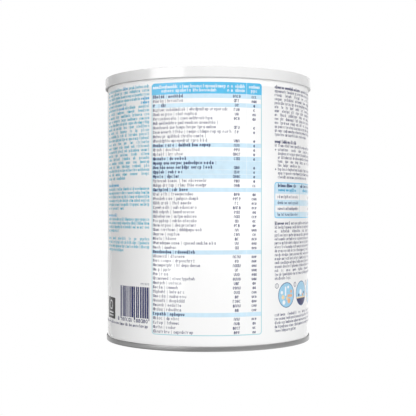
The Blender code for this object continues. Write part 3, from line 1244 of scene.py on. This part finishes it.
# Plain spots in the discs: (number of the disc from 0, across and up from its middle, radius)
WHITE_SPOTS = (
    (0, -4.4, 1.6, 1.0), (0, -2.6, -4.3, 1.3), (0, 1.4, 4.6, 0.8),
    (1, -1.0, 0.7, 1.7), (2, 5.0, 1.2, 2.0), (3, -1.5, 0.0, 1.8),
)
PEACH_SPOTS = ((0, 2.2, -3.6, 1.5), (0, 4.4, 1.9, 1.0), (3, 2.4, 1.0, 2.0))
CREAM_SPOTS = ((0, -3.4, -1.2, 1.3), (0, 0.4, -2.0, 0.9), (2, -3.8, -4.4, 1.1))
ORANGE_SPOTS = ((1, 2.8, -1.0, 0.9), (2, -4.6, -1.6, 0.8))
NAVY_SPOTS = ((1, -3.6, -0.9, 0.8), (1, 4.4, 0.2, 0.7))

# Plain bars in the first disc: (left, right, low, high) from its middle, and the corner
WHITE_BAR = (-1.6, -0.5, -0.4, 5.0)
WHITE_BAR_CORNER = 0.5
PEACH_BAR = (0.6, 5.6, -1.4, 0.2)
PEACH_BAR_CORNER = 0.7

# Grounds in the lower part of the second and the fourth disc: how far inside the disc's edge they end, and
# how far below its middle they start. A cream stripe lies along the top of the one in the second disc.
GROUND_INSET = 0.3
SECOND_GROUND = 2.9
FOURTH_GROUND = 4.6
STRIPE_INSET = 0.4
STRIPE_TOP = 2.0


def spots(places):
    """Spots at these places in the discs."""
    return [disc(DISC_MIDDLES[number] + x, DISC_HEIGHT + y, radius) for number, x, y, radius in places]


def disc_bar(edges, corner):
    """A bar in the first disc."""
    left, right, low, high = edges
    x = DISC_MIDDLES[0]
    return rectangle(x + left, x + right, DISC_HEIGHT + low, DISC_HEIGHT + high, corner)


def disc_row(inks):
    """Four pale blue discs, each with plain spots of its own, and a small ring with a mark beside each."""
    second, fourth = DISC_MIDDLES[1], DISC_MIDDLES[3]
    y = DISC_HEIGHT
    fields("discs", [disc(x, y, DISC_RADIUS) for x in DISC_MIDDLES], inks["disc_blue"])
    outlines = [ring_path(x, y, DISC_RADIUS - DISC_LINE_INSET) for x in DISC_MIDDLES]
    lines("disc_outlines", outlines, DISC_LINE, inks["slate"], TEXT_PROUD)
    rings = [ring_path(x - NUMBER_LEFT, NUMBER_HEIGHT, NUMBER_RADIUS) for x in DISC_MIDDLES]
    lines("number_rings", rings, NUMBER_LINE, inks["navy"])
    low, high = NUMBER_HEIGHT - NUMBER_MARK_HALF, NUMBER_HEIGHT + NUMBER_MARK_HALF
    marks = [[(x - NUMBER_LEFT, low), (x - NUMBER_LEFT, high)] for x in DISC_MIDDLES]
    lines("number_marks", marks, NUMBER_LINE, inks["navy"])
    white = spots(WHITE_SPOTS) + [disc_bar(WHITE_BAR, WHITE_BAR_CORNER)]
    fields("disc_white_motifs", white, inks["white"], OVERPRINT_PROUD)
    peach = spots(PEACH_SPOTS) + [disc_bar(PEACH_BAR, PEACH_BAR_CORNER)]
    fields("disc_peach_motifs", peach, inks["peach"], OVERPRINT_PROUD)
    stripe = disc(second, y, DISC_RADIUS - STRIPE_INSET, y - SECOND_GROUND, y - STRIPE_TOP)
    fields("disc_cream_motifs", spots(CREAM_SPOTS) + [stripe], inks["cream"], OVERPRINT_PROUD)
    fields("disc_orange_motifs", spots(ORANGE_SPOTS), inks["orange"], TEXT_PROUD)
    grounds = [
        disc(second, y, DISC_RADIUS - GROUND_INSET, high=y - SECOND_GROUND),
        disc(fourth, y, DISC_RADIUS - GROUND_INSET, high=y - FOURTH_GROUND),
    ]
    fields("disc_navy_motifs", grounds + spots(NAVY_SPOTS), inks["navy"], OVERPRINT_PROUD)


# Back panel, in mm. Its own middle is half way round the can. Its blue fields hang from the top, and their
# lower edge is a wave: low in the middle, up at the sides, with a ripple along it.
BACK_MIDDLE = math.pi * BODY_RADIUS / MM
BACK_HALF = 76.0
BACK_TOP = 156.2
WAVE_SIDES = 155.6
WAVE_BEND = 2.6
RIPPLE_HEIGHT = 1.6
RIPPLE_LENGTH = 9.0
PALE_WAVE_LOW = 80.0
SKY_LOW = 88.0
SKY_INSET = 2.0

# Half width, low edge, high edge and corner of each plain bar there
PLATE = (41.0, 113.0, 140.0, 8.0)
HEAVY_BAR = (31.0, 126.0, 134.0, 4.0)
LIGHT_BAR = (20.0, 117.5, 121.5, 2.0)
FOOT_STRIPE = (76.0, 8.0, 20.0, 2.0)
FOOT_WORDS = ((-70.0, -58.0), (52.0, 70.0))
FOOT_WORDS_MIDDLE = 14.0

# Three badges: the first two have round spots, (across and up from the middle badge, radius), and the last
# has a bowl, the lower half of a disc
BADGE_STEPS = (-24.0, 0.0, 24.0)
BADGE_HEIGHT = 58.0
BADGE_RADIUS = 8.5
BADGE_RING = 9.6
BADGE_LINE = 0.45
BADGE_SPOTS = ((-24.0, 0.0, 3.6), (0.0, -1.5, 3.0), (0.0, 3.2, 1.5))
BOWL_RADIUS = 5.0

# Half lengths of the lines of print below the badges, the first line's height and the pitch
BACK_LINES = (30.0, 34.0, 26.0, 31.0)
BACK_LINES_TOP = 41.0
BACK_LINES_PITCH = 2.6


def wave(low):
    """The lower edge of a blue field that comes down to this height in the middle."""
    def height(x):
        rise = (WAVE_SIDES - low) * (abs(x - BACK_MIDDLE) / BACK_HALF) ** WAVE_BEND
        return low + rise + RIPPLE_HEIGHT * math.sin((x - BACK_MIDDLE + BACK_HALF) / RIPPLE_LENGTH)
    return height


def back_bar(half, low, high, corner):
    """A plain bar across the middle of the back panel."""
    return [rectangle(BACK_MIDDLE - half, BACK_MIDDLE + half, low, high, corner)]


def back_panel(inks):
    """The main panel, which faces away: a sky field that hangs from the top, a white plate, badges, bars."""
    middle = BACK_MIDDLE
    left, right = middle - BACK_HALF, middle + BACK_HALF
    pale = hanging(left, right, wave(PALE_WAVE_LOW), BACK_TOP)
    fields("back_pale_wave", [pale], inks["pale_blue"])
    sky = hanging(left + SKY_INSET, right - SKY_INSET, wave(SKY_LOW), BACK_TOP)
    fields("back_sky_field", [sky], inks["sky"], OVERPRINT_PROUD)
    fields("back_plate", back_bar(*PLATE), inks["white"], TEXT_PROUD)
    fields("back_heavy_bar", back_bar(*HEAVY_BAR), inks["navy"], TOP_PROUD)
    fields("back_light_bar", back_bar(*LIGHT_BAR), inks["sky"], TOP_PROUD)
    badges = [disc(middle + x, BADGE_HEIGHT, BADGE_RADIUS) for x in BADGE_STEPS]
    fields("back_badges", badges, inks["disc_blue"])
    rings = [ring_path(middle + x, BADGE_HEIGHT, BADGE_RING) for x in BADGE_STEPS]
    lines("back_badge_rings", rings, BADGE_LINE, inks["teal"])
    motifs = [disc(middle + x, BADGE_HEIGHT + y, radius) for x, y, radius in BADGE_SPOTS]
    motifs += [disc(middle + BADGE_STEPS[-1], BADGE_HEIGHT, BOWL_RADIUS, high=BADGE_HEIGHT)]
    fields("back_badge_motifs", motifs, inks["white"], OVERPRINT_PROUD)
    draw = random.Random(53)
    thin = []
    for line, half in enumerate(BACK_LINES):
        height = BACK_LINES_TOP - BACK_LINES_PITCH * line
        thin += line_of_words(draw, middle - half, middle + half, height, SIDE_THIN)
    small_print("back_print", thin, SIDE_THIN, inks["navy"], 15)
    fields("back_foot_stripe", back_bar(*FOOT_STRIPE), inks["navy"])
    foot = [(middle + start, middle + end, FOOT_WORDS_MIDDLE) for start, end in FOOT_WORDS]
    small_print("back_foot_print", foot, CODE_FIGURES, inks["white"], 16)


# Far left column, in mm: its edges, the extents of its paragraphs, the height and end of each heading, and
# the box with a pale band at its top
FAR_LEFT_COLUMN = (-119.0, -90.0)
FAR_LEFT_TEXTS = ((150.0, 16, -102.0), (104.0, 12, -99.0))
FAR_LEFT_HEADINGS = ((152.9, -98.0), (106.6, -101.0))
BOX_LOW = 30.0
BOX_HIGH = 66.0
BOX_CORNER = 1.8
BOX_LINE = 0.5
BOX_BAND_LOW = 58.0
BOX_BAND_CORNER = 1.6


def far_left_column(inks):
    """A narrow column between the turquoise one and the main panel."""
    draw = random.Random(61)
    left, right = FAR_LEFT_COLUMN
    thin, bold = [], []
    for extent in FAR_LEFT_TEXTS:
        thin += paragraph(draw, FAR_LEFT_COLUMN, extent, SIDE_PITCH, SIDE_THIN)
    for middle, end in FAR_LEFT_HEADINGS:
        bold += line_of_words(draw, left, end, middle, SIDE_BOLD)
    small_print("far_left_print", thin, SIDE_THIN, inks["navy"], 17)
    small_print("far_left_bold_print", bold, SIDE_BOLD, inks["navy"], 18)
    box = rounded_path(left, right, BOX_LOW, BOX_HIGH, BOX_CORNER)
    lines("far_left_frame", [box], BOX_LINE, inks["teal"])
    inset = BOX_LINE / 2
    band = rectangle(left + inset, right - inset, BOX_BAND_LOW, BOX_HIGH - inset, BOX_BAND_CORNER, True)
    fields("far_left_band", [band], inks["pale_blue"])


# Inks: the strength of their shine, which is weaker on the matt black, their roughness, and by how much a
# thick or thin film changes their colour
INK_SHINE = 0.3
BLACK_SHINE = 0.12
INK_ROUGHNESS = 0.20
INK_VARIES = 0.04
INK_COLOURS = {
    "white": (0.80, 0.81, 0.82),
    "sky": (0.093, 0.457, 0.725),
    "pale_blue": (0.535, 0.695, 0.80),
    "teal": (0.34, 0.58, 0.64),
    "navy": (0.010, 0.015, 0.10),
    "turquoise": (0.005, 0.38, 0.55),
    "deep_turquoise": (0.005, 0.34, 0.62),
    "cyan": (0.03, 0.32, 0.55),
    "black": (0.02, 0.02, 0.022),
    "disc_blue": (0.31, 0.545, 0.72),
    "slate": (0.07, 0.13, 0.26),
    "cream": (0.80, 0.62, 0.36),
    "peach": (0.75, 0.42, 0.24),
    "orange": (0.70, 0.28, 0.06),
}


def ink(name, colour):
    """Printing ink under the varnish, whose film is a little thicker in some places than in others."""
    made, shader = new_material("ink_" + name, INK_ROUGHNESS)
    shader.inputs["Specular IOR Level"].default_value = BLACK_SHINE if name == "black" else INK_SHINE
    tree = made.node_tree
    film = spread(tree, noise(tree, scale=300.0), 0.0, 1.0)
    paler = tuple(min(1.0, channel * (1 + INK_VARIES)) for channel in colour)
    fuller = tuple(channel * (1 - INK_VARIES) for channel in colour)
    tree.links.new(tinted(tree, film, fuller, paler), shader.inputs["Base Color"])
    return made


# Camera
CAMERA_DISTANCE = 0.6045
CAMERA_HEIGHT = 0.0793
CAMERA_LENS = 82.09
CAMERA_SHIFT = 0.0118
SENSOR_WIDTH = 36.0


def add_camera():
    """Eye level with the middle of the tin, looking level at its front."""
    lens = bpy.data.cameras.new("camera")
    lens.lens = CAMERA_LENS
    lens.sensor_width = SENSOR_WIDTH
    lens.shift_y = CAMERA_SHIFT
    camera = bpy.data.objects.new("camera", lens)
    camera.location = (0.0, -CAMERA_DISTANCE, CAMERA_HEIGHT)
    camera.rotation_euler = (math.radians(90), 0.0, 0.0)
    bpy.context.scene.collection.objects.link(camera)
    bpy.context.scene.camera = camera


# Studio: a round white cove that only the camera sees, and a tent of light round it. The floor of the cove
# lies just under the foot of the tin.
COVE_RADIUS = 2.0
COVE_ROUND = 0.6
COVE_HEIGHT = 2.4
COVE_DROP = 0.02 * MM
COVE_WHITE = 1.0


def add_cove():
    """The pale floor, which turns up into a round wall and closes overhead."""
    made = bpy.data.materials.new("cove_white")
    made.use_nodes = True
    tree = made.node_tree
    tree.nodes.clear()
    glow = add(tree, "ShaderNodeEmission", {"Color": (1.0, 1.0, 1.0, 1.0), "Strength": COVE_WHITE})
    add(tree, "ShaderNodeOutputMaterial", {"Surface": glow.outputs[0]})
    profile = [(0.0, -COVE_DROP)]
    profile += arc(COVE_RADIUS - COVE_ROUND, COVE_ROUND - COVE_DROP, COVE_ROUND, -90, 0)
    profile += arc(COVE_RADIUS - COVE_ROUND, COVE_HEIGHT, COVE_ROUND, 0, 90)
    profile += [(0.0, COVE_HEIGHT + COVE_ROUND)]
    cove = turned("cove", profile, made)
    cove.visible_diffuse = False
    cove.visible_glossy = False
    cove.visible_transmission = False
    cove.visible_shadow = False


# Brightness of the tent in bands, from low to high. A band has its lowest elevation, then its stops (angle
# round the tin, brightness), straight from stop to stop. Angles are in degrees. The pit is what lies under
# the bands and the roof what lies over them. Neighbours blend over an edge to each side of their border, and
# the stops are kept as shares of a brightness that none of them exceeds.
TENT_BANDS = (
    (-50.0, (
        (-180, 1.05), (-150, 0.5), (-120, 0.0), (-60, 0.0), (-30, 0.3), (0, 1.3), (30, 1.85), (90, 0.95),
        (150, 1.2), (180, 1.05),
    )),
    (-14.0, (
        (-180, 1.25), (-165, 1.15), (-150, 0.95), (-135, 0.75), (-120, 0.7), (-105, 1.0), (-75, 1.1),
        (-60, 1.05), (-30, 0.5), (15, 0.0), (30, 0.1), (60, 0.6), (80, 0.85), (135, 0.9), (165, 1.3),
        (180, 1.25),
    )),
    (0.0, (
        (-180, 0.9), (-150, 0.95), (-125, 0.0), (-90, 0.0), (-60, 0.65), (-15, 0.95), (50, 0.95), (85, 0.25),
        (115, 0.1), (150, 0.9), (165, 1.1), (180, 0.9),
    )),
    (14.0, (
        (-180, 1.2), (-152, 1.0), (-134, 0.0), (-62, 0.0), (-45, 0.6), (-15, 2.2), (15, 3.15), (35, 3.0),
        (85, 0.7), (105, 0.45), (135, 0.7), (155, 1.3), (180, 1.2),
    )),
    (28.0, (
        (-180, 4.0), (-150, 0.0), (-90, 0.0), (-30, 1.6), (0, 2.1), (30, 1.95), (90, 0.3), (150, 0.2),
        (180, 4.0),
    )),
)
TENT_PIT = 0.5
TENT_ROOF = 1.0
ROOF_LOW = 50.0
BAND_EDGE = 0.5
TENT_BRIGHTEST = 5.0

# A bright strip low in front at the left, from one elevation to another
TENT_STRIP = ((-180, 0.0), (-67, 0.0), (-62, 5.0), (-26.5, 5.0), (-26, 0.0), (180, 0.0))
STRIP_LOW = 3.5
STRIP_HIGH = 14.0


def around(tree, azimuth, stops):
    """Brightness that depends on the angle round the tin alone, straight from stop to stop."""
    share = ranged(tree, azimuth, -180.0, 180.0)
    ramp = add(tree, "ShaderNodeValToRGB", {"Fac": share})
    steps = ramp.color_ramp.elements
    for place, brightness in stops[1:-1]:
        steps.new((place + 180) / 360)
    for step, (place, brightness) in zip(steps, stops):
        step.position = (place + 180) / 360
        grey = brightness / TENT_BRIGHTEST
        step.color = (grey, grey, grey, 1.0)
    return maths(tree, "MULTIPLY", ramp.outputs["Color"], TENT_BRIGHTEST)


def above(tree, elevation, level):
    """1 above this elevation and 0 below it."""
    return ranged(tree, elevation, level - BAND_EDGE, level + BAND_EDGE)


def mixed(tree, share, first, second):
    """The first value where the share is 0, and the second where it is 1."""
    wired = {"Factor": share, "A": first, "B": second}
    return add(tree, "ShaderNodeMix", wired, data_type="FLOAT").outputs["Result"]


def add_tent():
    """Soft light from all round: brightest in front and behind, faint at the sides, with a roof overhead."""
    world = bpy.data.worlds.new("tent")
    world.use_nodes = True
    bpy.context.scene.world = world
    tree = world.node_tree
    towards = separated(tree, add(tree, "ShaderNodeTexCoord").outputs["Generated"])
    ahead = maths(tree, "MULTIPLY", towards["Y"], -1.0)
    azimuth = maths(tree, "DEGREES", maths(tree, "ARCTAN2", towards["X"], ahead))
    elevation = maths(tree, "DEGREES", maths(tree, "ARCSINE", towards["Z"]))
    light = TENT_PIT
    for low, stops in TENT_BANDS:
        light = mixed(tree, above(tree, elevation, low), light, around(tree, azimuth, stops))
    under_top = above(tree, elevation, STRIP_HIGH)
    strip_on = maths(tree, "SUBTRACT", above(tree, elevation, STRIP_LOW), under_top)
    strip = maths(tree, "MULTIPLY", around(tree, azimuth, TENT_STRIP), strip_on)
    whole = mixed(tree, above(tree, elevation, ROOF_LOW), maths(tree, "ADD", light, strip), TENT_ROOF)
    background = tree.nodes["Background"]
    background.inputs["Color"].default_value = (1.0, 1.0, 1.0, 1.0)
    tree.links.new(whole, background.inputs["Strength"])


TURNED = turned_tree()
FIELD = field_tree()
LINE = line_tree()
SMALL_PRINT = small_print_tree(bar_tree(), bow_tree(closed=False), bow_tree(closed=True))
add_camera()
add_cove()
add_tent()
bpy.context.scene.view_settings.view_transform = "Standard"

add_to_tin(turned("snap_lid", lid_profile(), lid_plastic()), "lid_plastic", "lid")
add_to_tin(turned("can_wall", wall_profile(), wall_lacquer()), "printed_tinplate", "can_body")
add_to_tin(turned("seamed_end", end_profile(), bare_tinplate()), "bare_tinplate", "bottom_end")
INKS = {name: ink(name, colour) for name, colour in INK_COLOURS.items()}
main_table(INKS)
left_column(INKS)
right_column(INKS)
far_left_column(INKS)
back_panel(INKS)
